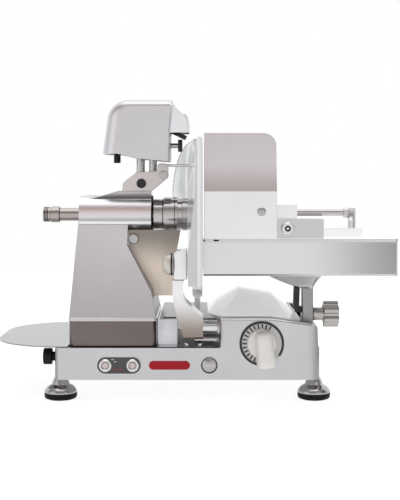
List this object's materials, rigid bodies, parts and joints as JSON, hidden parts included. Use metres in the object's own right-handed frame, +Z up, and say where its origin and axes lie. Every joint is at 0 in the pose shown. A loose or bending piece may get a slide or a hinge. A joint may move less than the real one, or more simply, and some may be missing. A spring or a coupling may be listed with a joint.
{
  "type": "electric food slicer",
  "caption": "Upright electric food slicer: round blade between a drive tower and a sliding carriage, with thickness dial, swing sharpener and receiving plate.",
  "frame": {"origin": "middle of the footprint's bounding box, on the table top", "axes": "+X to the operator's right along the blade axis, +Y away from the operator along the carriage stroke, +Z up"},
  "size_m": [0.614, 0.364, 0.462],
  "materials": {
    "cast_aluminium": "satin cast and bead blasted",
    "brushed_stainless": "fine brushed",
    "plinth_steel": "brushed, in shade",
    "polished_steel": "polished",
    "plain_steel": "turned",
    "black_steel": "black oxide",
    "bronze": "turned",
    "black_plastic": "moulded",
    "rubber": "matte",
    "abrasive": "bonded grit",
    "motor_paint": "grey paint",
    "panel_film": "satin film",
    "button_metal": "satin",
    "red_enamel": "gloss",
    "scale_metal": "satin",
    "pale_plastic": "satin moulded"
  },
  "bodies": {
    "frame": {"base_casting": "cast_aluminium", "bottom_plate": "plain_steel", "foot_bells": "polished_steel", "foot_pads": "rubber", "tower_plinth": "plinth_steel", "tower_housing": "brushed_stainless", "motor_body": "motor_paint", "shaft_bearings": "plain_steel", "shaft_seal": "rubber", "drive_belt": "rubber", "control_panel": "panel_film", "badge_plate": "red_enamel", "dial_scale": "scale_metal", "side_plug": "polished_steel", "cord_gland": "black_plastic", "carriage_rails": "plain_steel", "gauge_rod_bush": "plain_steel", "rear_hood": "pale_plastic", "ring_guard": "brushed_stainless", "slice_deflector": "brushed_stainless", "deflector_bolt": "plain_steel", "sharpener_bracket": "brushed_stainless", "bracket_pins": "black_steel"},
    "blade_rotor": {"blade_shaft": "polished_steel", "driven_pulley": "plain_steel", "blade": "polished_steel", "blade_screws": "plain_steel"},
    "motor_rotor": {"motor_shaft": "plain_steel", "motor_pulley": "plain_steel"},
    "tie_rod": {"tie_rod": "polished_steel", "blade_cover": "brushed_stainless"},
    "gauge": {"gauge_plate": "brushed_stainless", "gauge_arm": "cast_aluminium", "gauge_rod": "polished_steel"},
    "gauge_clamp": {"gauge_clamp_knob": "polished_steel"},
    "dial": {"dial_knob": "pale_plastic", "dial_shaft": "plain_steel", "thickness_cam": "plain_steel"},
    "start_button": {"start_button": "button_metal"},
    "stop_button": {"stop_button": "button_metal"},
    "carriage": {"carriage_table": "brushed_stainless", "carriage_bracket": "cast_aluminium", "carriage_column": "cast_aluminium", "carriage_stay": "black_steel", "slide_bushes": "bronze", "fence_plate": "brushed_stainless", "fence_screw": "plain_steel", "pusher_guide": "brushed_stainless"},
    "carriage_lock": {"carriage_lock_knob": "plain_steel"},
    "pusher": {"pusher_rod": "polished_steel", "pusher_bar": "brushed_stainless", "pusher_plate": "brushed_stainless"},
    "pusher_lock": {"pusher_lock_knob": "plain_steel"},
    "sharpener_head": {"sharpener_cover": "cast_aluminium", "sharpener_arm": "brushed_stainless"},
    "grinding_wheel": {"grinding_wheel": "abrasive"},
    "deburring_wheel": {"deburring_wheel": "abrasive"},
    "sharpener_lock": {"sharpener_button": "black_plastic"},
    "receiving_plate": {"receiving_plate": "brushed_stainless"},
    "plate_clamp": {"plate_clamp_knob": "black_plastic"}
  },
  "joints": [
    {"name": "blade_spin", "type": "hinge", "parent": "frame", "child": "blade_rotor", "pos_m": [-0.006, 0.008, 0.279], "axis": [1, 0, 0], "continuous": true},
    {"name": "motor_spin", "type": "hinge", "parent": "frame", "child": "motor_rotor", "pos_m": [-0.122, 0.008, 0.18], "axis": [1, 0, 0], "continuous": true},
    {"name": "tie_rod_turn", "type": "hinge", "parent": "frame", "child": "tie_rod", "pos_m": [-0.213, 0.008, 0.279], "axis": [1, 0, 0], "range_deg": [0, 360]},
    {"name": "dial_turn", "type": "hinge", "parent": "frame", "child": "dial", "pos_m": [0.107, -0.112, 0.088], "axis": [0, 1, 0], "range_deg": [0, 300]},
    {"name": "gauge_slide", "type": "slide", "parent": "frame", "child": "gauge", "axis": [-1, 0, 0], "range_m": [0, 0.014]},
    {"name": "gauge_clamp_turn", "type": "hinge", "parent": "gauge", "child": "gauge_clamp", "pos_m": [-0.025, -0.116, 0.2075], "axis": [1, 0, 0], "range_deg": [0, 180]},
    {"name": "start_press", "type": "slide", "parent": "frame", "child": "start_button", "axis": [0, 1, 0], "range_m": [0, 0.002], "stiffness_N_per_m": 300},
    {"name": "stop_press", "type": "slide", "parent": "frame", "child": "stop_button", "axis": [0, 1, 0], "range_m": [0, 0.002], "stiffness_N_per_m": 300},
    {"name": "carriage_slide", "type": "slide", "parent": "frame", "child": "carriage", "axis": [0, 1, 0], "range_m": [0, 0.2]},
    {"name": "carriage_lock_turn", "type": "hinge", "parent": "carriage", "child": "carriage_lock", "pos_m": [0.188, -0.067, 0.127], "axis": [1, 0, 0], "range_deg": [0, 180]},
    {"name": "pusher_slide", "type": "slide", "parent": "carriage", "child": "pusher", "axis": [1, 0, 0], "range_m": [-0.036, 0.04]},
    {"name": "pusher_lock_turn", "type": "hinge", "parent": "carriage", "child": "pusher_lock", "pos_m": [0.144, -0.132, 0.262], "axis": [0, 1, 0], "range_deg": [0, 180]},
    {"name": "sharpener_swing", "type": "hinge", "parent": "frame", "child": "sharpener_head", "pos_m": [-0.08, 0.008, 0.329], "axis": [0, -1, 0], "range_deg": [0, 35]},
    {"name": "grinding_spin", "type": "hinge", "parent": "sharpener_head", "child": "grinding_wheel", "pos_m": [-0.02, 0.008, 0.408], "axis": [0.4462, 0, 0.8949], "continuous": true},
    {"name": "deburring_spin", "type": "hinge", "parent": "sharpener_head", "child": "deburring_wheel", "pos_m": [-0.018, 0.008, 0.39], "axis": [1, 0, 0], "continuous": true},
    {"name": "sharpener_lock_press", "type": "slide", "parent": "sharpener_head", "child": "sharpener_lock", "axis": [0, 0, 1], "range_m": [0, 0.003], "stiffness_N_per_m": 200},
    {"name": "plate_lift", "type": "slide", "parent": "frame", "child": "receiving_plate", "axis": [0, 0, 1], "range_m": [0, 0.1]},
    {"name": "plate_clamp_turn", "type": "hinge", "parent": "frame", "child": "plate_clamp", "pos_m": [-0.206, -0.082, 0.064], "axis": [1, 0, 0], "range_deg": [0, 180]}
  ],
  "couplings": [
    {"joint": "motor_spin", "follows": "blade_spin", "ratio": 2.4},
    {"joint": "dial_turn", "follows": "gauge_slide", "rad_per_m": 374}
  ]
}
